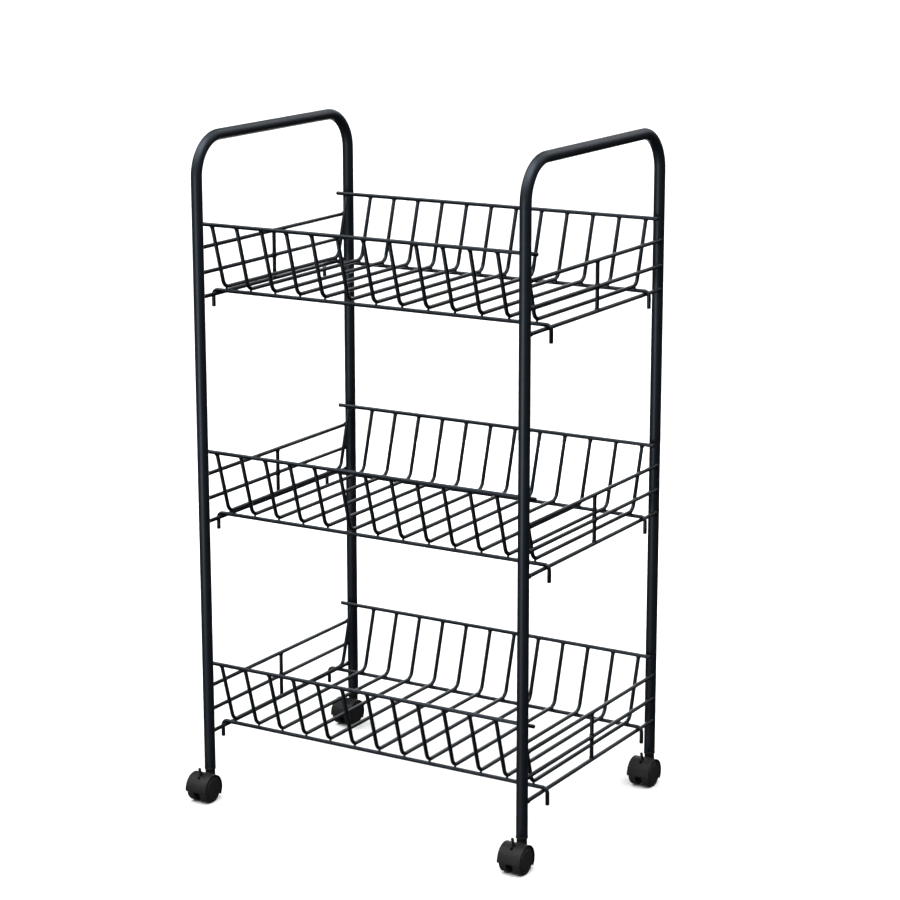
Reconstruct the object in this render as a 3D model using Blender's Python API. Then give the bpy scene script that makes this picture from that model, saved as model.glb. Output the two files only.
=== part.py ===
"""Rolling utility cart: two bent-tube end frames, three hung wire baskets and four twin-wheel casters.

Metres, +Z up. X runs along the long side, the front is -Y, and the floor is Z = 0.
"""

import math

import bmesh
import bpy
from mathutils import Matrix, Vector

MM = 0.001

# End frames: one bent tube each, in the planes X = -LEG_X and X = +LEG_X
LEG_X = 209.6 * MM
LEG_Y = 156.7 * MM
TUBE_RADIUS = 6.5 * MM
TUBE_WALL = 1.2 * MM
TUBE_FOOT_Z = 38.0 * MM
HANDLE_Z = 778.5 * MM
HANDLE_BEND = 44.5 * MM

# The casters trail toward the front, so the frame stands behind the middle of the footprint
FRAME_Y = 12.2 * MM

# Height of the lowest end rail of each tier
TIERS = {"top": 597.0 * MM, "middle": 333.2 * MM, "bottom": 77.6 * MM}

# Wire work: round wire of 4.2 mm, as a hexagon of about the same area
WIRE_SIDES = 6
WIRE_CORNER = 2.3 * MM
SMALL_GAP = 0.3 * MM

# End rails: three per tier and end, joined by one upright strut
RAIL_OUTBOARD = 4.0 * MM
RAIL_HALF = LEG_Y - 6.55 * MM
RAIL_RISES = (0.0, 27.5 * MM, 56.6 * MM)
STRUT_INBOARD = 0.5 * MM
STRUT_INSET = 0.6 * MM

# Basket, measured from the lowest end rail
CROSS_WIRES = 13
CROSS_PITCH = 33.5 * MM
CROSS_FLOOR_Z = 8.1 * MM
CROSS_TOP_Z = 80.5 * MM
CROSS_BEND = 5.0 * MM
FLARE = 0.297
RIM_Z = 82.9 * MM
RIM_Y = LEG_Y - 15.5 * MM
RIM_END_X = LEG_X + 7.0 * MM
ROD_Y = 115.2 * MM
ROD_Z = 4.4 * MM
HOOK_X = LEG_X + 9.2 * MM
HOOK_TIP_Z = -16.0 * MM
HOOK_BEND = 4.5 * MM

# Twin-wheel caster, measured from the floor under its stem
TRAIL = 13.5 * MM
WHEEL_RADIUS = 16.0 * MM
WHEEL_SIDES = 24
WHEEL_INNER_X = 4.0 * MM
WHEEL_OUTER_X = 14.0 * MM
HOOD_RADIUS = 17.5 * MM
HOOD_INNER = 16.5 * MM
HOOD_HALF = 14.3 * MM
HOOD_REAR = -35.0
HOOD_FRONT = 185.0
WEB_HALF = 2.6 * MM
NECK_RADIUS = 5.15 * MM
NECK_TOP_Z = 34.9 * MM
STEM_RADIUS = 2.2 * MM
STEM_BASE_Z = 28.8 * MM
STEM_TOP_Z = 58.0 * MM
FLANGE_Z = 35.2 * MM
AXLE_RADIUS = 1.5 * MM
AXLE_HALF = 12.4 * MM
LEVER_ANGLE = 107.0
LEVER_RADIUS = 1.45 * MM
LEVER_PIVOT = 12.0 * MM
LEVER_LENGTH = 16.0 * MM
HOLE_ANGLE = 126.0


def clear_scene():
    for obj in list(bpy.data.objects):
        bpy.data.objects.remove(obj, do_unlink=True)


def material(name, colour, roughness, metallic=0.0):
    made = bpy.data.materials.new(name)
    made.use_nodes = True
    shader = made.node_tree.nodes["Principled BSDF"]
    shader.inputs["Base Color"].default_value = (*colour, 1.0)
    shader.inputs["Roughness"].default_value = roughness
    shader.inputs["Metallic"].default_value = metallic
    made.diffuse_color = (*colour, 1.0)
    return made


def mesh_from(build):
    """A mesh of what build() adds to an empty bmesh, facing outward."""
    shape = bmesh.new()
    build(shape)
    bmesh.ops.recalc_face_normals(shape, faces=shape.faces)
    mesh = bpy.data.meshes.new("shape")
    shape.to_mesh(mesh)
    shape.free()
    return mesh


def shade(mesh, angle=40.0):
    """Smooth faces, with an edge kept wherever two faces meet at more than the angle."""
    for polygon in mesh.polygons:
        polygon.use_smooth = True
    mesh.set_sharp_from_angle(angle=math.radians(angle))


def rounded(corners, radius, steps):
    """The polyline through the corners, each inner one replaced by an arc."""
    path = [corners[0]]
    for before, corner, after in zip(corners, corners[1:], corners[2:]):
        back = (before - corner).normalized()
        ahead = (after - corner).normalized()
        half = back.angle(ahead) / 2
        centre = corner + (back + ahead).normalized() * radius / math.sin(half)
        start = corner + back * radius / math.tan(half) - centre
        turn = ahead.cross(back).normalized()
        swept = math.pi - 2 * half
        for step in range(steps + 1):
            path.append(centre + Matrix.Rotation(swept * step / steps, 3, turn) @ start)
    path.append(corners[-1])
    return path


def rings_along(shape, path, normal, radius, sides, taper=()):
    """One ring of vertices per path point. The path lies in the plane across the normal."""
    rings = []
    for index, point in enumerate(path):
        behind = path[max(index - 1, 0)]
        ahead = path[min(index + 1, len(path) - 1)]
        side = normal.cross((ahead - behind).normalized())
        size = radius * (taper[index] if taper else 1.0)
        ring = []
        for corner in range(sides):
            turn = 2 * math.pi * corner / sides
            offset = normal * math.cos(turn) + side * math.sin(turn)
            ring.append(shape.verts.new(point + offset * size))
        rings.append(ring)
    return rings


def skin(shape, rings):
    for lower, upper in zip(rings, rings[1:]):
        count = len(lower)
        for corner in range(count):
            following = (corner + 1) % count
            shape.faces.new((lower[corner], lower[following], upper[following], upper[corner]))


def add_wire(shape, path, normal, radius=WIRE_CORNER, sides=WIRE_SIDES, taper=()):
    rings = rings_along(shape, path, normal, radius, sides, taper)
    skin(shape, rings)
    shape.faces.new(rings[0][::-1])
    shape.faces.new(rings[-1])


def add_pipe(shape, path, normal, radius, wall, sides):
    outer = rings_along(shape, path, normal, radius, sides)
    inner = rings_along(shape, path, normal, radius - wall, sides)
    skin(shape, outer)
    skin(shape, [ring[::-1] for ring in inner])
    for end in (0, -1):
        skin(shape, [outer[end], inner[end]])


def add_turned(shape, profile, sides, place, closed=True):
    """The (radius, height) profile turned about Z, then placed. A zero radius closes on the axis."""
    rings = []
    for radius, height in profile:
        count = sides if radius > 0 else 1
        ring = []
        for corner in range(count):
            turn = 2 * math.pi * (corner + 0.5) / sides
            point = Vector((radius * math.cos(turn), radius * math.sin(turn), height))
            ring.append(shape.verts.new(place @ point))
        rings.append(ring)
    if closed:
        rings.append(rings[0])
    for lower, upper in zip(rings, rings[1:]):
        for corner in range(sides):
            following = (corner + 1) % sides
            quad = [lower[corner % len(lower)], lower[following % len(lower)]]
            quad += [upper[following % len(upper)], upper[corner % len(upper)]]
            distinct = [vert for index, vert in enumerate(quad) if vert not in quad[:index]]
            if len(distinct) > 2:
                shape.faces.new(distinct)


def turned(profile, sides, place=Matrix(), closed=True):
    return mesh_from(lambda shape: add_turned(shape, profile, sides, place, closed))


def rod(radius, start, end, sides, place=Matrix()):
    """A plain round bar along Z between two heights."""
    return turned([(0, start), (radius, start), (radius, end), (0, end)], sides, place, closed=False)


def block(low, high, place=Matrix()):
    def build(shape):
        bmesh.ops.create_cube(shape, size=1.0)
        size = Vector(high) - Vector(low)
        centre = (Vector(high) + Vector(low)) / 2
        scaled = Matrix.Translation(centre) @ Matrix.Diagonal((*size, 1.0))
        bmesh.ops.transform(shape, matrix=place @ scaled, verts=shape.verts)

    return mesh_from(build)


def combined(base, steps):
    """The base mesh after each (operation, mesh) step in turn."""
    body = bpy.data.objects.new("body", base)
    bpy.context.collection.objects.link(body)
    tools = []
    for operation, mesh in steps:
        tool = bpy.data.objects.new("tool", mesh)
        bpy.context.collection.objects.link(tool)
        tools.append(tool)
        modifier = body.modifiers.new(operation.lower(), "BOOLEAN")
        modifier.operation = operation
        modifier.solver = "EXACT"
        modifier.object = tool
    graph = bpy.context.evaluated_depsgraph_get()
    result = bpy.data.meshes.new_from_object(body.evaluated_get(graph))
    for obj in [body, *tools]:
        bpy.data.objects.remove(obj, do_unlink=True)
    result.materials.clear()
    return result


def place(name, mesh, coat, parent, location=(0, 0, 0), turn=0.0):
    obj = bpy.data.objects.new(name, mesh)
    bpy.context.collection.objects.link(obj)
    if not mesh.materials:
        mesh.materials.append(coat)
    obj.parent = parent
    obj.location = location
    obj.rotation_euler.z = turn
    return obj


def pivot(name, parent, location):
    made = bpy.data.objects.new(name, None)
    bpy.context.collection.objects.link(made)
    made.empty_display_size = 0.02
    made.parent = parent
    made.location = location
    return made


def end_frame_mesh():
    foot, top = TUBE_FOOT_Z, HANDLE_Z
    corners = [Vector((0, y, z)) for y, z in ((-LEG_Y, foot), (-LEG_Y, top), (LEG_Y, top), (LEG_Y, foot))]
    path = rounded(corners, HANDLE_BEND, 6)
    return mesh_from(lambda shape: add_pipe(shape, path, Vector((1, 0, 0)), TUBE_RADIUS, TUBE_WALL, 12))


def end_grid_mesh():
    """Three rails along Y and the strut that joins them; +X is outboard."""

    def rails(shape):
        for rise in RAIL_RISES:
            ends = [Vector((0, side * RAIL_HALF, rise)) for side in (-1, 1)]
            add_wire(shape, ends, Vector((1, 0, 0)))

    def strut(shape):
        heights = (RAIL_RISES[0] + STRUT_INSET, RAIL_RISES[-1] - STRUT_INSET)
        ends = [Vector((-STRUT_INBOARD, 0, height)) for height in heights]
        add_wire(shape, ends, Vector((1, 0, 0)))

    return combined(mesh_from(rails), [("UNION", mesh_from(strut))])


def basket_mesh():
    """The U-shaped cross wires and the two hooked base rods that carry them."""
    top_y = RIM_Y - FLARE * (RIM_Z - CROSS_TOP_Z)
    floor_y = RIM_Y - FLARE * (RIM_Z - CROSS_FLOOR_Z)
    ends = ((-top_y, CROSS_TOP_Z), (-floor_y, CROSS_FLOOR_Z), (floor_y, CROSS_FLOOR_Z), (top_y, CROSS_TOP_Z))

    def cross_wires(shape):
        for index in range(CROSS_WIRES):
            x = (index - (CROSS_WIRES - 1) / 2) * CROSS_PITCH
            path = rounded([Vector((x, y, z)) for y, z in ends], CROSS_BEND, 2)
            add_wire(shape, path, Vector((1, 0, 0)))

    def base_rods(shape):
        for y in (-ROD_Y, ROD_Y):
            xz = ((-HOOK_X, HOOK_TIP_Z), (-HOOK_X, ROD_Z), (HOOK_X, ROD_Z), (HOOK_X, HOOK_TIP_Z))
            path = rounded([Vector((x, y, z)) for x, z in xz], HOOK_BEND, 3)
            add_wire(shape, path, Vector((0, 1, 0)))

    return combined(mesh_from(cross_wires), [("UNION", mesh_from(base_rods))])


def rim_mesh():
    """A straight wire along X with slightly rounded ends."""
    stations = (-RIM_END_X, -RIM_END_X + 0.8 * MM, RIM_END_X - 0.8 * MM, RIM_END_X)
    path = [Vector((x, 0, 0)) for x in stations]
    return mesh_from(lambda shape: add_wire(shape, path, Vector((0, 1, 0)), taper=(0.65, 1, 1, 0.65)))


def along_x():
    """Turns a shape made about Z so that it lies about X."""
    return Matrix.Rotation(math.radians(90), 4, "Y")


def radial(angle):
    """Turns Z to the direction at this angle in the YZ plane, 0 toward the stem and 90 straight up."""
    return Matrix.Rotation(math.radians(angle - 90), 4, "X")


def wheel_mesh():
    """One wheel on +X of the axle centre. Its tread flats stand on the floor."""
    tread = WHEEL_RADIUS / math.cos(math.pi / WHEEL_SIDES)
    bore = AXLE_RADIUS + SMALL_GAP
    inner, outer = WHEEL_INNER_X, WHEEL_OUTER_X
    profile = [
        (0, outer - 1.3 * MM),
        (bore, outer - 1.3 * MM),
        (bore, inner),
        (tread - 1.0 * MM, inner),
        (tread, inner + 1.0 * MM),
        (tread, outer - 1.8 * MM),
        (tread - 1.8 * MM, outer),
        (0, outer),
    ]
    return turned(profile, WHEEL_SIDES, along_x(), closed=False)


def hood_mesh():
    """The caster body about the axle centre: fender shell, middle web, neck and their bores."""
    steps = 14
    arc = []
    for step in range(steps + 1):
        angle = math.radians(HOOD_REAR + (HOOD_FRONT - HOOD_REAR) * step / steps)
        arc.append((HOOD_RADIUS * math.cos(angle), HOOD_RADIUS * math.sin(angle)))
    outline = [(0.0, 0.0), *arc]

    def fender(shape):
        sides = []
        for x in (-HOOD_HALF, HOOD_HALF):
            sides.append([shape.verts.new((x, y, z)) for y, z in outline])
        skin(shape, sides)
        shape.faces.new(sides[0])
        shape.faces.new(sides[1][::-1])

    neck_top = NECK_TOP_Z - WHEEL_RADIUS
    neck = [(0, 0), (3.3 * MM, 0), (NECK_RADIUS, 6 * MM), (NECK_RADIUS, neck_top), (0, neck_top)]
    at_stem = Matrix.Translation((0, TRAIL, 0))
    stem_bore = (STEM_RADIUS + SMALL_GAP, STEM_BASE_Z - WHEEL_RADIUS - SMALL_GAP)
    half_slot = LEVER_RADIUS + SMALL_GAP
    slot_low = (-half_slot, -half_slot, LEVER_PIVOT - half_slot)
    slot_high = (half_slot, 3.4 * MM, HOOD_RADIUS + 2 * MM)
    hole = [Vector((0, y, 0)) for y in (-1.1 * MM, 1.1 * MM)]
    hole_low, hole_high = HOOD_RADIUS - 3.5 * MM, HOOD_RADIUS + 1.5 * MM

    def oval_hole(shape):
        for height in (hole_low, hole_high):
            ring = []
            for corner in range(12):
                turn = 2 * math.pi * (corner + 0.5) / 12
                centre = hole[1] if math.sin(turn) > 0 else hole[0]
                offset = Vector((1.6 * MM * math.cos(turn), 1.6 * MM * math.sin(turn), height))
                ring.append(shape.verts.new(radial(HOLE_ANGLE) @ (centre + offset)))
            shape.faces.new(ring)
            if height == hole_low:
                low = ring
        skin(shape, [low, ring])

    def cavity(sign):
        turned_over = Matrix.Rotation(math.pi, 4, "Z") if sign < 0 else Matrix()
        return rod(HOOD_INNER, WEB_HALF, 2 * HOOD_HALF, 24, turned_over @ along_x())

    return combined(
        mesh_from(fender),
        [
            ("UNION", turned(neck, 16, at_stem, closed=False)),
            ("UNION", rod(5.5 * MM, -8 * MM, 8 * MM, 16, along_x())),
            ("DIFFERENCE", cavity(1)),
            ("DIFFERENCE", cavity(-1)),
            ("DIFFERENCE", rod(AXLE_RADIUS + SMALL_GAP, -9 * MM, 9 * MM, 12, along_x())),
            ("DIFFERENCE", rod(stem_bore[0], stem_bore[1], 30 * MM, 12, at_stem)),
            ("DIFFERENCE", block(slot_low, slot_high, radial(LEVER_ANGLE))),
            ("DIFFERENCE", mesh_from(oval_hole)),
        ],
    )


def lever_mesh():
    """A round pin lever, upright along Z from its pivot at the origin."""
    r, tip = LEVER_RADIUS, LEVER_LENGTH
    profile = [(0, -r), (0.7 * r, -0.7 * r), (r, 0), (r, tip - 0.9 * r), (0.7 * r, tip - 0.25 * r), (0, tip)]
    return turned(profile, 10, closed=False)


def insert_mesh():
    """The plastic sleeve in the foot of each leg, with a flange under the tube."""
    bore, sleeve = STEM_RADIUS + SMALL_GAP, TUBE_RADIUS - TUBE_WALL - SMALL_GAP
    lip = TUBE_FOOT_Z - SMALL_GAP
    profile = [
        (bore, FLANGE_Z),
        (5.3 * MM, FLANGE_Z),
        (TUBE_RADIUS, FLANGE_Z + 1.1 * MM),
        (TUBE_RADIUS, lip),
        (sleeve, lip),
        (sleeve, lip + 22 * MM),
        (bore, lip + 22 * MM),
    ]
    return turned(profile, 12)


def add_end_frames(cart, coats):
    tube, grid = end_frame_mesh(), end_grid_mesh()
    shade(tube)
    shade(grid, 50.0)
    for end, sign in (("left", -1), ("right", 1)):
        turn = 0.0 if sign > 0 else math.pi
        place(f"end_frame_{end}", tube, coats["tube"], cart, (sign * LEG_X, 0, 0))
        for tier, height in TIERS.items():
            spot = (sign * (LEG_X + RAIL_OUTBOARD), 0, height)
            place(f"end_grid_{end}_{tier}", grid, coats["wire"], cart, spot, turn)


def add_baskets(cart, coats):
    wires, rim = basket_mesh(), rim_mesh()
    shade(wires, 50.0)
    shade(rim, 50.0)
    for tier, height in TIERS.items():
        place(f"basket_{tier}_wires", wires, coats["wire"], cart, (0, 0, height))
        for side, y in (("front", -RIM_Y), ("back", RIM_Y)):
            place(f"basket_{tier}_rim_{side}", rim, coats["wire"], cart, (0, y, height + RIM_Z))


def add_casters(cart, coats):
    hood, wheel, lever, insert = hood_mesh(), wheel_mesh(), lever_mesh(), insert_mesh()
    stem = rod(STEM_RADIUS, STEM_BASE_Z, STEM_TOP_Z, 12)
    axle = rod(AXLE_RADIUS, -AXLE_HALF, AXLE_HALF, 12, along_x())
    for mesh in (hood, wheel, lever, insert, stem, axle):
        shade(mesh, 35.0)
    lever_turn = math.radians(LEVER_ANGLE)
    lever_spot = (0, LEVER_PIVOT * math.cos(lever_turn), LEVER_PIVOT * math.sin(lever_turn))
    for depth, y in (("front", -LEG_Y), ("back", LEG_Y)):
        for end, x in (("left", -LEG_X), ("right", LEG_X)):
            name = f"caster_{depth}_{end}"
            place(f"{name}_socket_insert", insert, coats["insert"], cart, (x, y, 0))
            place(f"{name}_stem", stem, coats["steel"], cart, (x, y, 0))
            swivel = pivot(f"{name}_swivel", cart, (x, y, 0))
            centre = pivot(f"{name}_axle_centre", swivel, (0, -TRAIL, WHEEL_RADIUS))
            place(f"{name}_hood", hood, coats["hood"], centre)
            place(f"{name}_axle", axle, coats["steel"], centre)
            place(f"{name}_wheel_right", wheel, coats["wheel"], centre)
            place(f"{name}_wheel_left", wheel, coats["wheel"], centre, turn=math.pi)
            pin = place(f"{name}_brake_lever", lever, coats["lever"], centre, lever_spot)
            pin.rotation_euler.x = lever_turn - math.pi / 2


def main():
    clear_scene()
    coats = {
        "tube": material("tube_powder_coat", (0.014, 0.017, 0.023), 0.38),
        "wire": material("wire_powder_coat", (0.012, 0.014, 0.019), 0.42),
        "insert": material("insert_nylon", (0.022, 0.024, 0.024), 0.5),
        "hood": material("hood_nylon", (0.034, 0.034, 0.034), 0.55),
        "wheel": material("wheel_nylon", (0.018, 0.018, 0.018), 0.5),
        "lever": material("lever_nylon", (0.006, 0.006, 0.006), 0.5),
        "steel": material("zinc_steel", (0.45, 0.45, 0.46), 0.35, 1.0),
    }
    cart = pivot("cart", None, (0, FRAME_Y, 0))
    add_end_frames(cart, coats)
    add_baskets(cart, coats)
    add_casters(cart, coats)


main()
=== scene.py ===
"""Finished surfaces of the rolling utility cart: coated tube ends, welded wire baskets and moulded casters.

Metres, +Z up. X runs along the long side, the front is -Y, and the floor is Z = 0.
"""

import math

import bmesh
import bpy
from mathutils import Matrix, Vector


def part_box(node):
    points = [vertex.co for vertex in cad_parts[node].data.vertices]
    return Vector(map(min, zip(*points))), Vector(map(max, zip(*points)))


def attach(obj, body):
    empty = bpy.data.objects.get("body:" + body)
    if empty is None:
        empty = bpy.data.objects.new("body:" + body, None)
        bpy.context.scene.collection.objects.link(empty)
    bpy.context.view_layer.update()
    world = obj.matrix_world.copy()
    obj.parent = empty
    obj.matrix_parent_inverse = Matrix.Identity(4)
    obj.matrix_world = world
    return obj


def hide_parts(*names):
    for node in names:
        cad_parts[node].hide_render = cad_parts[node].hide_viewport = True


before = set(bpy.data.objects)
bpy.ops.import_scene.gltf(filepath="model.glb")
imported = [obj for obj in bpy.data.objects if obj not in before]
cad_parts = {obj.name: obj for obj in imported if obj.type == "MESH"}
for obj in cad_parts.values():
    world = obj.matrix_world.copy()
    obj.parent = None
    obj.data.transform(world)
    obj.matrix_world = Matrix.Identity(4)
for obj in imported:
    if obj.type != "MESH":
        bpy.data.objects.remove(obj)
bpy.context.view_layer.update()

MM = 0.001
X_AXIS = Vector((1, 0, 0))
Y_AXIS = Vector((0, 1, 0))
Z_AXIS = Vector((0, 0, 1))
ENDS = {"left": -1, "right": 1}
SIDES = ("front", "back")
TIERS = ("top", "middle", "bottom")
ROUND_SIDES = 48
FINE_SIDES = 96


def middle(node):
    low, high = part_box(node)
    return (low + high) / 2


# Bent tube ends
tube_low, tube_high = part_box("end_frame_right")
TUBE_RADIUS = (tube_high.x - tube_low.x) / 2
TUBE_WALL = 1.2 * MM
TUBE_EDGE = 0.35 * MM
LEG_X = middle("end_frame_right").x
FRAME_Y = middle("end_frame_right").y
LEG_Y = (tube_high.y - tube_low.y) / 2 - TUBE_RADIUS
FOOT_Z = tube_low.z
HANDLE_Z = tube_high.z - TUBE_RADIUS
HANDLE_BEND = 44.5 * MM
HANDLE_STEPS = 24

# Wire work: round wire, its heights measured from the lowest rail of a tier
WIRE_RADIUS = 2.3 * MM
WIRE_SIDES = 16
WIRE_BEND_STEPS = 10
WIRE_DOME = 0.9 * MM
RIM_Z = 82.9 * MM
RIM_Y = middle("basket_top_rim_back").y - FRAME_Y
RIM_END_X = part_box("basket_top_rim_back")[1].x
RIM_DOME = 1.3 * MM
TIER_Z = {tier: middle(f"basket_{tier}_rim_back").z - RIM_Z for tier in TIERS}

# End grids: rails on the outboard side of the legs, and the strut that joins them
RAIL_X = LEG_X + 4.0 * MM
RAIL_RISES = (0.0, 27.5 * MM, 56.6 * MM)
RAIL_HALF = LEG_Y - 1.6 * MM
RAIL_WELD_Y = LEG_Y - 4.7 * MM
RAIL_WELD = (2.5 * MM, 2.4 * MM, 2.7 * MM)
RAIL_COLLAR = 2.2 * MM
STRUT_X = -0.5 * MM

# Baskets: U-shaped cross wires on two hooked base rods
CROSS_WIRES = 13
CROSS_PITCH = 33.5 * MM
CROSS_FLOOR_Z = 8.7 * MM
CROSS_TOP_Z = RIM_Z - 0.8 * MM
CROSS_BEND = 11.0 * MM
FLARE = 0.297
ROD_Y = 115.8 * MM
ROD_Z = 3.9 * MM
ROD_WELD_Y = 115.0 * MM
ROD_WELD_Z = 6.6 * MM
ROD_WELD = (1.5 * MM, 1.3 * MM, 1.3 * MM)
HOOK_X = LEG_X + 9.2 * MM
HOOK_TIP_Z = -16.0 * MM
HOOK_BEND = 6.0 * MM

# Casters: the axle centre is the origin of every moulded piece
axle_spot = middle("caster_front_left_axle")
axle_low, axle_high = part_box("caster_front_left_axle")
stem_low, stem_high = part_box("caster_front_left_stem")
wheel_low, wheel_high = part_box("caster_front_left_wheel_right")
hood_low, hood_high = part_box("caster_front_left_hood")
TRAIL = middle("caster_front_left_stem").y - axle_spot.y
PLAY = 0.3 * MM
AXLE_RADIUS = (axle_high.z - axle_low.z) / 2
AXLE_END = axle_high.x - axle_spot.x
STEM_RADIUS = (stem_high.x - stem_low.x) / 2
STEM_BASE = stem_low.z - axle_spot.z
WHEEL_RADIUS = axle_spot.z
WHEEL_INNER_X = wheel_low.x - axle_spot.x
WHEEL_OUTER_X = wheel_high.x - axle_spot.x
WHEEL_BORE = 1.9 * MM
HOOD_RADIUS = 17.5 * MM
HOOD_WALL = 1.1 * MM
HOOD_HALF = (hood_high.x - hood_low.x) / 2
HOOD_REAR = -35.0
HOOD_FRONT = 185.0
HOOD_VOXEL = 0.3 * MM
WEB_HALF = 2.5 * MM
HUB_RADIUS = 5.5 * MM
HUB_HALF = 8.0 * MM
NECK_RADIUS = 5.8 * MM
NECK_ROOT_RADIUS = 3.3 * MM
NECK_SHOULDER = 6 * MM
NECK_TOP = hood_high.z - WHEEL_RADIUS
FLANGE_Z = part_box("caster_front_left_socket_insert")[0].z
SLEEVE_TOP = FOOT_Z + 20 * MM

# Wheel lock: the lever pin, the slot it tilts in and the oval hole, at their angles round the axle
LEVER_ANGLE = 107.0
LEVER_PIVOT = 12.0 * MM
LEVER_LENGTH = 16.0 * MM
LEVER_HEAD = 1.8 * MM
SLOT_LOW = Vector((-1.7, -1.6, 10.2)) * MM
SLOT_HIGH = Vector((1.7, 3.3, 20.0)) * MM
HOLE_ANGLE = 122.5
HOLE_RADIUS = 1.45 * MM
HOLE_STRAIGHT = 0.9 * MM
HOLE_BOTTOM = HOOD_RADIUS - 3.5 * MM
HOLE_TOP = HOOD_RADIUS + 1.5 * MM

# Stage: FILL is the part of the white backdrop's light that reaches the cart
CAMERA_AIM = Vector((-68.3, -31.4, 415.2)) * MM
CAMERA_DISTANCE = 3033.2 * MM
CAMERA_AZIMUTH = 32.524
CAMERA_ELEVATION = 13.6
CAMERA_ROLL = -0.521
CAMERA_LENS = 105.28
CAMERA_SHIFT = 0.1
FLOOR_SIZE = 60.0
FILL = 0.04


# Mesh building


def mesh_from(build):
    """A mesh of what build() adds to an empty bmesh, facing outward."""
    shape = bmesh.new()
    build(shape)
    bmesh.ops.recalc_face_normals(shape, faces=shape.faces)
    mesh = bpy.data.meshes.new("shape")
    shape.to_mesh(mesh)
    shape.free()
    return mesh


def shade(mesh, angle):
    """Smooth faces, with an edge kept wherever two faces meet at more than the angle."""
    for polygon in mesh.polygons:
        polygon.use_smooth = True
    mesh.set_sharp_from_angle(angle=math.radians(angle))
    return mesh


def rounded(corners, radius, steps):
    """The polyline through the corners, each inner one replaced by an arc."""
    path = [corners[0]]
    for before, corner, after in zip(corners, corners[1:], corners[2:]):
        back = (before - corner).normalized()
        ahead = (after - corner).normalized()
        half = back.angle(ahead) / 2
        centre = corner + (back + ahead).normalized() * radius / math.sin(half)
        start = corner + back * radius / math.tan(half) - centre
        turn = ahead.cross(back).normalized()
        swept = math.pi - 2 * half
        for step in range(steps + 1):
            path.append(centre + Matrix.Rotation(swept * step / steps, 3, turn) @ start)
    path.append(corners[-1])
    return path


def eased_corners(corners, radius, steps):
    """Like rounded(), but each arc is no larger than its two edges allow."""
    path = [corners[0]]
    for before, corner, after in zip(corners, corners[1:], corners[2:]):
        back, ahead = before - corner, after - corner
        half = back.angle(ahead) / 2
        reach = min(radius / math.tan(half), 0.45 * back.length, 0.45 * ahead.length)
        if half > math.radians(89):
            path.append(corner)
            continue
        path += rounded([before, corner, after], reach * math.tan(half), steps)[1:-1]
    path.append(corners[-1])
    return path


def eased(profile, radius, steps):
    """The (radius, height) profile with its inner corners rounded."""
    corners = [Vector((r, 0, z)) for r, z in profile]
    return [(point.x, point.z) for point in eased_corners(corners, radius, steps)]


def arc_angles(steps):
    """Angles from 0 up to a right angle, which is left out."""
    return [math.pi / 2 * step / steps for step in range(steps)]


def rings_along(shape, path, normal, radii, sides):
    """One ring of vertices per path point. The path lies in the plane across the normal."""
    rings = []
    for index, (point, radius) in enumerate(zip(path, radii)):
        behind = path[max(index - 1, 0)]
        ahead = path[min(index + 1, len(path) - 1)]
        side = normal.cross((ahead - behind).normalized())
        ring = []
        for corner in range(sides):
            turn = 2 * math.pi * corner / sides
            offset = normal * math.cos(turn) + side * math.sin(turn)
            ring.append(shape.verts.new(point + offset * radius))
        rings.append(ring)
    return rings


def skin(shape, rings):
    """Faces between each ring and the next."""
    for lower, upper in zip(rings, rings[1:]):
        count = len(lower)
        for corner in range(count):
            following = (corner + 1) % count
            shape.faces.new((lower[corner], lower[following], upper[following], upper[corner]))


def add_prism(shape, lower, upper):
    """A closed solid between two rings of points."""
    rings = [[shape.verts.new(point) for point in ring] for ring in (lower, upper)]
    skin(shape, rings)
    shape.faces.new(rings[0])
    shape.faces.new(rings[1][::-1])


def add_wire(shape, path, normal, dome=WIRE_DOME):
    """A round wire with softly domed ends, whose tips are the path's own ends."""
    steps = 5
    first = (path[1] - path[0]).normalized()
    last = (path[-2] - path[-1]).normalized()
    angles = [math.pi / 2 * (step + 0.4) / (steps + 0.4) for step in range(steps)]
    start = [path[0] + first * dome * (1 - math.cos(angle)) for angle in angles]
    finish = [path[-1] + last * dome * (1 - math.cos(angle)) for angle in reversed(angles)]
    ends = [WIRE_RADIUS * math.sin(angle) for angle in angles]
    stations = [*start, path[0] + first * dome, *path[1:-1], path[-1] + last * dome, *finish]
    radii = [*ends, *[WIRE_RADIUS] * len(path), *reversed(ends)]
    rings = rings_along(shape, stations, normal, radii, WIRE_SIDES)
    skin(shape, rings)
    shape.faces.new(rings[0][::-1])
    shape.faces.new(rings[-1])


def add_turned(shape, profile, sides, place=Matrix(), closed=False):
    """The (radius, height) profile turned about Z, then placed. A zero radius closes on the axis."""
    rings = []
    for radius, height in profile:
        ring = []
        for corner in range(sides if radius > 0 else 1):
            turn = 2 * math.pi * corner / sides
            point = Vector((radius * math.cos(turn), radius * math.sin(turn), height))
            ring.append(shape.verts.new(place @ point))
        rings.append(ring)
    if closed:
        rings.append(rings[0])
    for lower, upper in zip(rings, rings[1:]):
        for corner in range(sides):
            following = (corner + 1) % sides
            quad = [lower[corner % len(lower)], lower[following % len(lower)]]
            quad += [upper[following % len(upper)], upper[corner % len(upper)]]
            distinct = [vert for index, vert in enumerate(quad) if vert not in quad[:index]]
            if len(distinct) > 2:
                shape.faces.new(distinct)


def turned(profile, sides, place=Matrix(), closed=False):
    return mesh_from(lambda shape: add_turned(shape, profile, sides, place, closed))


def bar(radius, start, end, sides, place=Matrix()):
    return turned([(0, start), (radius, start), (radius, end), (0, end)], sides, place)


def toward(point, direction):
    """Puts a shape made about Z at the point, its Z along the direction."""
    return Matrix.Translation(point) @ direction.to_track_quat("Z", "Y").to_matrix().to_4x4()


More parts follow.
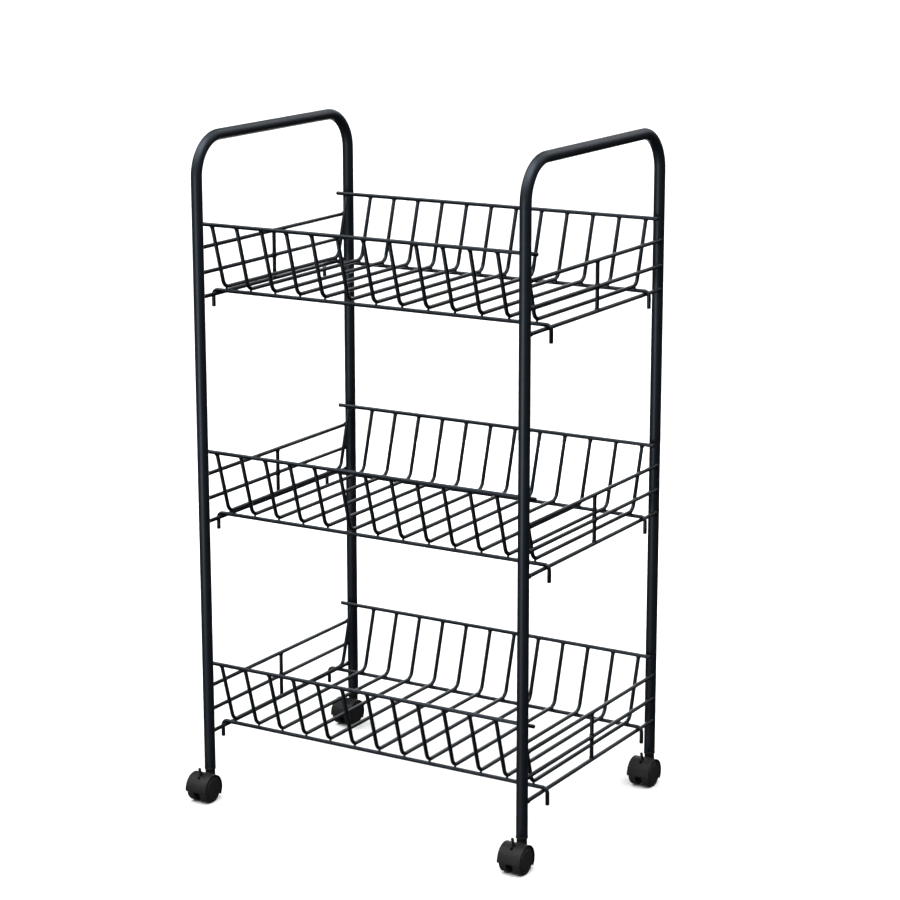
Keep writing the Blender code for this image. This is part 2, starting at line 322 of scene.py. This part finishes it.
def add_fillet(shape, point, direction, height=1.9 * MM):
    """The coated weld where a wire butts on another: a concave collar round the wire's end."""
    steps = 6
    skirt = 0.7 * MM
    sunk = -0.9 * MM
    inset = 0.03 * MM
    profile = [(0, sunk), (WIRE_RADIUS + skirt, sunk)]
    for step in range(steps + 1):
        share = step / steps
        profile.append((WIRE_RADIUS - inset + skirt * (1 - share) ** 2, height * share))
    profile.append((0, height))
    add_turned(shape, profile, WIRE_SIDES, toward(point, direction))


def add_bead(shape, centre, size):
    """A smooth weld bead: a ball stretched to these half-widths."""
    steps = 8
    angles = [math.pi * step / steps for step in range(1, steps)]
    profile = [(math.sin(angle), -math.cos(angle)) for angle in angles]
    place = Matrix.Translation(centre) @ Matrix.Diagonal((*size, 1))
    add_turned(shape, [(0, -1), *profile, (0, 1)], WIRE_SIDES, place)


# Materials


def node(tree, kind, **settings):
    """A new shader node with these input values."""
    made = tree.nodes.new(kind)
    for name, value in settings.items():
        made.inputs[name.replace("_", " ")].default_value = value
    return made


def noise(tree, scale, detail):
    coordinates = node(tree, "ShaderNodeTexCoord")
    texture = node(tree, "ShaderNodeTexNoise", Scale=scale, Detail=detail, Roughness=0.5)
    tree.links.new(coordinates.outputs["Object"], texture.inputs["Vector"])
    return texture.outputs["Fac"]


def ramp(tree, source, low, high):
    """A colour ramp between two colours over the middle of the source's range."""
    made = node(tree, "ShaderNodeValToRGB")
    for element, position, colour in zip(made.color_ramp.elements, (0.35, 0.65), (low, high)):
        element.position = position
        element.color = (*colour, 1)
    tree.links.new(source, made.inputs["Fac"])
    return made.outputs["Color"]


def spread(tree, source, low, high):
    """The middle of the source's range stretched from low to high."""
    made = node(tree, "ShaderNodeMapRange", From_Min=0.3, From_Max=0.7, To_Min=low, To_Max=high)
    tree.links.new(source, made.inputs["Value"])
    return made.outputs["Result"]


def relief(tree, layers):
    """Bump nodes in a chain, one per (height, distance) layer."""
    normal = None
    for height, distance in layers:
        bump = node(tree, "ShaderNodeBump", Strength=1.0, Distance=distance)
        tree.links.new(height, bump.inputs["Height"])
        if normal:
            tree.links.new(normal, bump.inputs["Normal"])
        normal = bump.outputs["Normal"]
    return normal


def finish(name, low, high, gloss, specular, layers, metallic=0.0, sheen=(1.0, 1.0, 1.0)):
    """A surface with drifting colour and gloss. layers are (noise scale, detail, relief depth)."""
    made = bpy.data.materials.new(name)
    made.use_nodes = True
    tree = made.node_tree
    shader = tree.nodes["Principled BSDF"]
    shader.inputs["Metallic"].default_value = metallic
    shader.inputs["Specular IOR Level"].default_value = specular
    shader.inputs["Specular Tint"].default_value = (*sheen, 1.0)
    tree.links.new(ramp(tree, noise(tree, 45.0, 4.0), low, high), shader.inputs["Base Color"])
    tree.links.new(spread(tree, noise(tree, 260.0, 3.0), *gloss), shader.inputs["Roughness"])
    heights = [(noise(tree, scale, detail), depth) for scale, detail, depth in layers]
    tree.links.new(relief(tree, heights), shader.inputs["Normal"])
    return made


def powder_coat(name, low, high, gloss, specular):
    """Satin powder coat with a blue sheen: a fine orange peel with a finer texture on it."""
    layers = [(620.0, 2.0, 0.02 * MM), (2600.0, 1.0, 0.006 * MM)]
    return finish(name, low, high, gloss, specular, layers, sheen=(0.70, 0.84, 1.0))


def moulded(name, low, high, gloss, specular):
    """Matte nylon with a spark-eroded grain."""
    layers = [(1500.0, 3.0, 0.05 * MM), (240.0, 2.0, 0.04 * MM)]
    return finish(name, low, high, gloss, specular, layers)


def zinc_steel():
    """The bright plated steel of the stems and axles."""
    low, high = (0.42, 0.42, 0.43), (0.5, 0.5, 0.52)
    layers = [(400.0, 2.0, 0.01 * MM)]
    return finish("zinc_steel", low, high, (0.3, 0.42), 0.5, layers, metallic=1.0)


def grey(value):
    return (value, value, value)


def make_coats():
    """The material of each kind of piece."""
    deep, blue_black = (0.004, 0.0055, 0.008), (0.006, 0.008, 0.011)
    tube = powder_coat("tube_powder_coat", deep, blue_black, (0.45, 0.53), 0.6)
    deep, blue_black = (0.002, 0.003, 0.004), (0.004, 0.005, 0.007)
    wire = powder_coat("wire_powder_coat", deep, blue_black, (0.35, 0.43), 0.42)
    deep, green_black = (0.0075, 0.0088, 0.0085), (0.0105, 0.0125, 0.0118)
    insert = moulded("insert_nylon", deep, green_black, (0.45, 0.6), 0.24)
    hood = moulded("hood_nylon", grey(0.0062), (0.0098, 0.0098, 0.0096), (0.5, 0.65), 0.2)
    # A darker copy of the hood's nylon: painted shade for the faces inside the fender and between the
    # wheels.
    hood_painted_shade = moulded("hood_nylon_painted_shade", grey(0.003), grey(0.005), (0.6, 0.7), 0.2)
    wheel = moulded("wheel_nylon", grey(0.018), grey(0.0235), (0.45, 0.6), 0.28)
    lever = moulded("lever_nylon", grey(0.006), grey(0.009), (0.4, 0.5), 0.3)
    return {
        "tube": tube,
        "wire": wire,
        "insert": insert,
        "hood": hood,
        "hood_painted_shade": hood_painted_shade,
        "wheel": wheel,
        "lever": lever,
        "steel": zinc_steel(),
    }


# Bent tube ends


def end_frame_mesh():
    """The bent tube, with softened edges where it is cut off at each foot."""
    feet = [Vector((0, side * LEG_Y, FOOT_Z)) for side in (-1, 1)]
    tops = [Vector((0, side * LEG_Y, HANDLE_Z)) for side in (-1, 1)]
    path = rounded([feet[0], tops[0], tops[1], feet[1]], HANDLE_BEND, HANDLE_STEPS)
    lip = [TUBE_EDGE * Z_AXIS, 0.3 * TUBE_EDGE * Z_AXIS, 0 * Z_AXIS]
    first_foot = [path[0] + rise for rise in reversed(lip)]
    last_foot = [path[-1] + rise for rise in lip]
    path = [*first_foot, *path[1:-1], *last_foot]
    cut_edge = [0.0, 0.3 * TUBE_EDGE, TUBE_EDGE]
    plain = [0.0] * (len(path) - 2 * len(cut_edge))
    insets = [*reversed(cut_edge), *plain, *cut_edge]

    def tube(shape):
        outer_radii = [TUBE_RADIUS - inset for inset in insets]
        inner_radii = [TUBE_RADIUS - TUBE_WALL + 0.3 * inset for inset in insets]
        outer = rings_along(shape, path, X_AXIS, outer_radii, ROUND_SIDES)
        inner = rings_along(shape, path, X_AXIS, inner_radii, ROUND_SIDES)
        skin(shape, outer)
        skin(shape, [ring[::-1] for ring in inner])
        for end in (0, -1):
            skin(shape, [outer[end], inner[end]])

    return shade(mesh_from(tube), 50.0)


def end_grid_mesh():
    """Three rails welded to the legs and the strut that joins them; +X is outboard."""
    weld_x = 0.1 * (RAIL_X - LEG_X)
    collar_y = RAIL_WELD_Y - 1.4 * MM

    def rail(shape, rise):
        add_wire(shape, [Vector((0, side * RAIL_HALF, rise)) for side in (-1, 1)], X_AXIS)
        for side in (-1, 1):
            add_bead(shape, Vector((weld_x, side * RAIL_WELD_Y, rise)), RAIL_WELD)
            start = Vector((0, side * collar_y, rise))
            add_fillet(shape, start, Vector((0, -side, 0)), RAIL_COLLAR)

    def strut(shape):
        ends = [Vector((STRUT_X, 0, rise)) for rise in (RAIL_RISES[0], RAIL_RISES[-1])]
        add_wire(shape, ends, X_AXIS)
        for low, high in zip(RAIL_RISES, RAIL_RISES[1:]):
            add_fillet(shape, Vector((STRUT_X, 0, low + WIRE_RADIUS)), Z_AXIS)
            add_fillet(shape, Vector((STRUT_X, 0, high - WIRE_RADIUS)), -Z_AXIS)

    def grid(shape):
        for rise in RAIL_RISES:
            rail(shape, rise)
        strut(shape)

    return shade(mesh_from(grid), 60.0)


# Baskets


def basket_mesh():
    """The U-shaped cross wires, the hooked base rods under them, and the welds between."""
    top_y = RIM_Y - FLARE * (RIM_Z - CROSS_TOP_Z)
    floor_y = RIM_Y - FLARE * (RIM_Z - CROSS_FLOOR_Z)
    slope = Vector((0, FLARE, 1)).normalized()

    def cross_wire(shape, x):
        corners = [
            Vector((x, -top_y, CROSS_TOP_Z)),
            Vector((x, -floor_y, CROSS_FLOOR_Z)),
            Vector((x, floor_y, CROSS_FLOOR_Z)),
            Vector((x, top_y, CROSS_TOP_Z)),
        ]
        add_wire(shape, rounded(corners, CROSS_BEND, WIRE_BEND_STEPS), X_AXIS)
        for side in (-1, 1):
            upward = Vector((0, side * slope.y, slope.z))
            rim = Vector((x, side * RIM_Y, RIM_Z))
            add_fillet(shape, rim - upward * WIRE_RADIUS, -upward)
            add_bead(shape, Vector((x, side * ROD_WELD_Y, ROD_WELD_Z)), ROD_WELD)

    def base_rod(shape, y):
        corners = [
            Vector((-HOOK_X, y, HOOK_TIP_Z)),
            Vector((-HOOK_X, y, ROD_Z)),
            Vector((HOOK_X, y, ROD_Z)),
            Vector((HOOK_X, y, HOOK_TIP_Z)),
        ]
        add_wire(shape, rounded(corners, HOOK_BEND, WIRE_BEND_STEPS), Y_AXIS)

    def basket(shape):
        for index in range(CROSS_WIRES):
            cross_wire(shape, (index - (CROSS_WIRES - 1) / 2) * CROSS_PITCH)
        for side in (-1, 1):
            base_rod(shape, side * ROD_Y)

    return shade(mesh_from(basket), 60.0)


def rim_mesh():
    """The straight wire along one side of a basket's mouth."""
    ends = [Vector((side * RIM_END_X, 0, 0)) for side in (-1, 1)]
    return shade(mesh_from(lambda shape: add_wire(shape, ends, Y_AXIS, RIM_DOME)), 60.0)


# Casters


def along_x(sign=1):
    """Turns a shape made about Z so that it lies about X, its top toward +X or -X."""
    return Matrix.Rotation(math.radians(90 * sign), 4, "Y")


def radial(angle):
    """Turns Z to the direction at this angle in the YZ plane, 0 toward the stem and 90 straight up."""
    return Matrix.Rotation(math.radians(angle - 90), 4, "X")


def combined(base, steps, voxel):
    """The base after each (operation, mesh) step, with every edge melted to a small radius."""
    body = bpy.data.objects.new("body", base)
    bpy.context.scene.collection.objects.link(body)
    tools = []
    for operation, mesh in steps:
        tool = bpy.data.objects.new("tool", mesh)
        bpy.context.scene.collection.objects.link(tool)
        tools.append(tool)
        modifier = body.modifiers.new(operation, "BOOLEAN")
        modifier.operation = operation
        modifier.solver = "EXACT"
        modifier.object = tool
    remesh = body.modifiers.new("melt", "REMESH")
    remesh.mode = "VOXEL"
    remesh.voxel_size = voxel
    soften = body.modifiers.new("soften", "SMOOTH")
    soften.factor = 0.5
    soften.iterations = 3
    thin = body.modifiers.new("thin", "DECIMATE")
    thin.ratio = 0.3
    graph = bpy.context.evaluated_depsgraph_get()
    result = bpy.data.meshes.new_from_object(body.evaluated_get(graph))
    for obj in [body, *tools]:
        bpy.data.objects.remove(obj, do_unlink=True)
    for polygon in result.polygons:
        polygon.use_smooth = True
    result.materials.clear()
    return result


def fender(shape):
    """A pie of the hood's full width, from the axle out to the fender's arc."""
    steps = 48
    outline = [(0.0, 0.0)]
    for step in range(steps + 1):
        angle = math.radians(HOOD_REAR + (HOOD_FRONT - HOOD_REAR) * step / steps)
        outline.append((HOOD_RADIUS * math.cos(angle), HOOD_RADIUS * math.sin(angle)))
    left, right = ([(x, y, z) for y, z in outline] for x in (-HOOD_HALF, HOOD_HALF))
    add_prism(shape, left, right)


def oval_hole(shape):
    """The cutter of the hole through the fender in front of the lever pin."""
    sides = 24
    rings = []
    for height in (HOLE_BOTTOM, HOLE_TOP):
        ring = []
        for corner in range(sides):
            turn = 2 * math.pi * (corner + 0.5) / sides
            slide = math.copysign(HOLE_STRAIGHT, math.sin(turn))
            point = Vector((HOLE_RADIUS * math.cos(turn), slide + HOLE_RADIUS * math.sin(turn), height))
            ring.append(radial(HOLE_ANGLE) @ point)
        rings.append(ring)
    add_prism(shape, *rings)


def lever_slot(shape):
    """The cutter of the slot that the lever pin tilts in."""
    bmesh.ops.create_cube(shape, size=1.0)
    size = SLOT_HIGH - SLOT_LOW
    scaled = Matrix.Translation((SLOT_LOW + SLOT_HIGH) / 2) @ Matrix.Diagonal((*size, 1))
    bmesh.ops.transform(shape, matrix=radial(LEVER_ANGLE) @ scaled, verts=shape.verts)


def hood_mesh(outside, painted_shade_coat):
    """The fender shell over both wheels, the web between them, and the neck that turns on the stem."""
    at_stem = Matrix.Translation((0, TRAIL, 0))
    neck = [
        (0, 0),
        (NECK_ROOT_RADIUS, 0),
        (NECK_RADIUS, NECK_SHOULDER),
        (NECK_RADIUS, NECK_TOP),
        (0, NECK_TOP),
    ]
    inner = HOOD_RADIUS - HOOD_WALL
    axle_bore = AXLE_RADIUS + PLAY
    stem_bore = STEM_RADIUS + PLAY
    mesh = combined(
        mesh_from(fender),
        [
            ("UNION", turned(neck, ROUND_SIDES, at_stem)),
            ("UNION", bar(HUB_RADIUS, -HUB_HALF, HUB_HALF, ROUND_SIDES, along_x())),
            ("DIFFERENCE", bar(inner, WEB_HALF, 2 * HOOD_HALF, FINE_SIDES, along_x())),
            ("DIFFERENCE", bar(inner, WEB_HALF, 2 * HOOD_HALF, FINE_SIDES, along_x(-1))),
            ("DIFFERENCE", mesh_from(lever_slot)),
            ("DIFFERENCE", mesh_from(oval_hole)),
            ("DIFFERENCE", bar(axle_bore, -HUB_HALF, HUB_HALF, ROUND_SIDES, along_x())),
            ("DIFFERENCE", bar(stem_bore, STEM_BASE - PLAY, 2 * NECK_TOP, ROUND_SIDES, at_stem)),
        ],
        HOOD_VOXEL,
    )
    mesh.materials.append(outside)
    mesh.materials.append(painted_shade_coat)
    # Every face within the fender's outer skin (its inner wall, cut edges, web and hub) takes the darker
    # nylon: painted shade in the recess.
    for polygon in mesh.polygons:
        if polygon.center.yz.length < HOOD_RADIUS - 0.25 * HOOD_WALL:
            polygon.material_index = 1
    return mesh


def wheel_mesh():
    """A moulded wheel on +X of the axle centre: rounded tread, domed face and a shallow ring in it."""
    inner, outer = WHEEL_INNER_X, WHEEL_OUTER_X
    edge = outer - 1.1 * MM
    tread = [
        (WHEEL_BORE, inner),
        (WHEEL_RADIUS, inner),
        (WHEEL_RADIUS, edge),
        (14.2 * MM, edge + 0.5 * MM),
    ]
    face = [
        (13.2 * MM, edge + 0.7 * MM),
        (12.9 * MM, edge + 0.4 * MM),
        (12.3 * MM, edge + 0.4 * MM),
        (12.0 * MM, edge + 0.9 * MM),
        (4.6 * MM, outer),
        (0, outer),
    ]
    bore = [(0, AXLE_END + PLAY), (WHEEL_BORE, AXLE_END + PLAY)]
    profile = [*bore, *eased(tread, 0.9 * MM, 6)[:-1], *eased(face, 0.2 * MM, 3)]
    return shade(turned(profile, FINE_SIDES, along_x()), 50.0)


def lever_mesh():
    """The wheel lock's pin, which widens a little from its slot to its domed head."""
    centre = LEVER_LENGTH - LEVER_HEAD
    foot = [(0, -1.4 * MM), (1.2 * MM, -1.1 * MM)]
    shaft = [(1.5 * MM, 0), (1.5 * MM, 5.0 * MM), (1.55 * MM, 8.0 * MM), (1.6 * MM, 11.5 * MM)]
    dome = []
    for angle in arc_angles(6):
        dome.append((LEVER_HEAD * math.cos(angle), centre + LEVER_HEAD * math.sin(angle)))
    return shade(turned([*foot, *shaft, *dome, (0, LEVER_LENGTH)], 24), 50.0)


def insert_mesh():
    """The plastic sleeve in a leg's foot, its flange chamfered down to the neck below it."""
    bore = 2.5 * MM
    sleeve = TUBE_RADIUS - TUBE_WALL - PLAY
    lip = FOOT_Z - 0.15 * MM
    flange = TUBE_RADIUS + 0.2 * MM
    outline = [
        (bore, FLANGE_Z),
        (5.9 * MM, FLANGE_Z),
        (flange, FLANGE_Z + 0.7 * MM),
        (flange, lip),
        (sleeve, lip),
        (sleeve, SLEEVE_TOP),
        (bore, SLEEVE_TOP),
    ]
    profile = eased([*outline, outline[0]], 0.25 * MM, 3)[:-1]
    return shade(turned(profile, ROUND_SIDES, closed=True), 50.0)


# Assembly


def add_piece(name, mesh, coat, body, stands_for, place, turn=(0, 0, 0)):
    """One finished piece, which moves with its body and takes the place of the solid it stands for."""
    obj = bpy.data.objects.new(name, mesh)
    bpy.context.scene.collection.objects.link(obj)
    if not mesh.materials:
        mesh.materials.append(coat)
    obj.location = place
    obj.rotation_euler = turn
    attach(obj, body)
    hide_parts(stands_for)


def outboard(sign):
    """Turns a shape that faces +X toward the end with this sign."""
    return (0, 0, 0 if sign > 0 else math.pi)


def add_end_frames(coats):
    tube, grid = end_frame_mesh(), end_grid_mesh()
    for end, sign in ENDS.items():
        name, node_name = f"bent_tube_{end}", f"end_frame_{end}"
        spot = (sign * LEG_X, FRAME_Y, 0)
        add_piece(name, tube, coats["tube"], "frame", node_name, spot)
        for tier, height in TIER_Z.items():
            name, node_name = f"rails_{end}_{tier}", f"end_grid_{end}_{tier}"
            spot = (sign * RAIL_X, FRAME_Y, height)
            turn = outboard(sign)
            add_piece(name, grid, coats["wire"], "frame", node_name, spot, turn)


def add_baskets(coats):
    wires, rim = basket_mesh(), rim_mesh()
    for tier, height in TIER_Z.items():
        name, node_name = f"cross_wires_{tier}", f"basket_{tier}_wires"
        add_piece(name, wires, coats["wire"], "frame", node_name, (0, FRAME_Y, height))
        for side in SIDES:
            name, node_name = f"rim_{tier}_{side}", f"basket_{tier}_rim_{side}"
            spot = middle(node_name)
            add_piece(name, rim, coats["wire"], "frame", node_name, spot)


def add_caster(caster, meshes, coats):
    hood, wheel, lever, insert = meshes
    centre = middle(f"{caster}_axle")
    foot = middle(f"{caster}_stem")
    name, node_name = f"{caster}_flange", f"{caster}_socket_insert"
    spot = (foot.x, foot.y, 0)
    add_piece(name, insert, coats["insert"], "frame", node_name, spot)
    name, node_name = f"{caster}_body", f"{caster}_hood"
    add_piece(name, hood, coats["hood"], caster, node_name, centre)
    for end, sign in ENDS.items():
        name, node_name = f"{caster}_disc_{end}", f"{caster}_wheel_{end}"
        turn = outboard(sign)
        add_piece(name, wheel, coats["wheel"], node_name, node_name, centre, turn)
    name, node_name = f"{caster}_lever_pin", f"{caster}_brake_lever"
    angle = math.radians(LEVER_ANGLE)
    spot = centre + Vector((0, math.cos(angle), math.sin(angle))) * LEVER_PIVOT
    turn = (angle - math.pi / 2, 0, 0)
    add_piece(name, lever, coats["lever"], node_name, node_name, spot, turn)
    for part in ("stem", "axle"):
        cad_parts[f"{caster}_{part}"].material_slots[0].material = coats["steel"]


def add_casters(coats):
    hood = hood_mesh(coats["hood"], coats["hood_painted_shade"])
    meshes = (hood, wheel_mesh(), lever_mesh(), insert_mesh())
    for side in SIDES:
        for end in ENDS:
            add_caster(f"caster_{side}_{end}", meshes, coats)


# Stage


def floor_material():
    made = bpy.data.materials.new("pale_floor")
    made.use_nodes = True
    tree = made.node_tree
    shader = tree.nodes["Principled BSDF"]
    shader.inputs["Roughness"].default_value = 0.9
    shader.inputs["Specular IOR Level"].default_value = 0.0
    colour = ramp(tree, noise(tree, 2.0, 3.0), grey(0.90), grey(0.92))
    tree.links.new(colour, shader.inputs["Base Color"])
    return made


def add_floor():
    """A pale floor that takes the cart's shadow. It throws no light or shadow on the cart."""
    shape = bmesh.new()
    bmesh.ops.create_grid(shape, x_segments=2, y_segments=2, size=FLOOR_SIZE)
    mesh = bpy.data.meshes.new("floor")
    shape.to_mesh(mesh)
    shape.free()
    mesh.materials.append(floor_material())
    floor = bpy.data.objects.new("floor", mesh)
    bpy.context.scene.collection.objects.link(floor)
    floor.visible_diffuse = False
    floor.visible_glossy = False
    floor.visible_shadow = False


def add_light(name, kind, power, place, turn):
    light = bpy.data.lights.new(name, kind)
    light.energy = power
    obj = bpy.data.objects.new(name, light)
    bpy.context.scene.collection.objects.link(obj)
    obj.location = place
    obj.rotation_euler = turn
    obj.visible_camera = False
    return light


def add_sun(name, azimuth, elevation, strength, softness):
    """A broad soft light. Azimuth 0 shines from the front, 90 from the right."""
    turn = (math.radians(90 - elevation), 0, math.radians(azimuth))
    add_light(name, "SUN", strength, (0, 0, 0), turn).angle = math.radians(softness)


def add_softbox(name, azimuth, distance, height, size, power):
    """A tall soft box that faces the cart, its middle at this height above the floor."""
    angle = math.radians(azimuth)
    place = (math.sin(angle) * distance, -math.cos(angle) * distance, height)
    light = add_light(name, "AREA", power, place, (math.radians(90), 0, angle))
    light.shape = "RECTANGLE"
    light.size, light.size_y = size


def add_lights():
    """Low soft boxes put a streak down the upright tubes, and high suns light the level ones."""
    add_softbox("key", -5, 3.2, -0.32, (0.7, 1.5), 44.0)
    add_softbox("back_fill", 205, 1.8, 0.45, (0.6, 1.6), 14.0)
    add_sun("overhead", 40, 66, 3.2, 50)
    add_sun("front_left", -65, 52, 2.6, 60)
    add_sun("back_right", 166, 36, 0.85, 50)


def add_world():
    """A white backdrop that lights the cart only faintly, so that it stays as dark as the coat is."""
    world = bpy.data.worlds.new("studio")
    world.use_nodes = True
    tree = world.node_tree
    background = tree.nodes["Background"]
    background.inputs["Color"].default_value = (1.0, 1.0, 1.0, 1.0)
    path = node(tree, "ShaderNodeLightPath")
    strength = node(tree, "ShaderNodeMapRange", To_Min=FILL, To_Max=1.0)
    tree.links.new(path.outputs["Is Camera Ray"], strength.inputs["Value"])
    tree.links.new(strength.outputs["Result"], background.inputs["Strength"])
    bpy.context.scene.world = world
    bpy.context.scene.view_settings.view_transform = "Standard"


def add_camera():
    azimuth, elevation = math.radians(CAMERA_AZIMUTH), math.radians(CAMERA_ELEVATION)
    across = math.cos(elevation)
    back = Vector((math.sin(azimuth) * across, -math.cos(azimuth) * across, math.sin(elevation)))
    level = back.to_track_quat("Z", "Y").to_matrix()
    roll = Matrix.Rotation(math.radians(CAMERA_ROLL), 3, "Z")
    camera = bpy.data.objects.new("camera", bpy.data.cameras.new("camera"))
    camera.data.lens = CAMERA_LENS
    camera.data.shift_x = CAMERA_SHIFT
    camera.location = CAMERA_AIM + back * CAMERA_DISTANCE
    camera.rotation_euler = (level @ roll).to_euler()
    bpy.context.scene.collection.objects.link(camera)
    bpy.context.scene.camera = camera


coats = make_coats()
add_end_frames(coats)
add_baskets(coats)
add_casters(coats)
add_floor()
add_lights()
add_world()
add_camera()
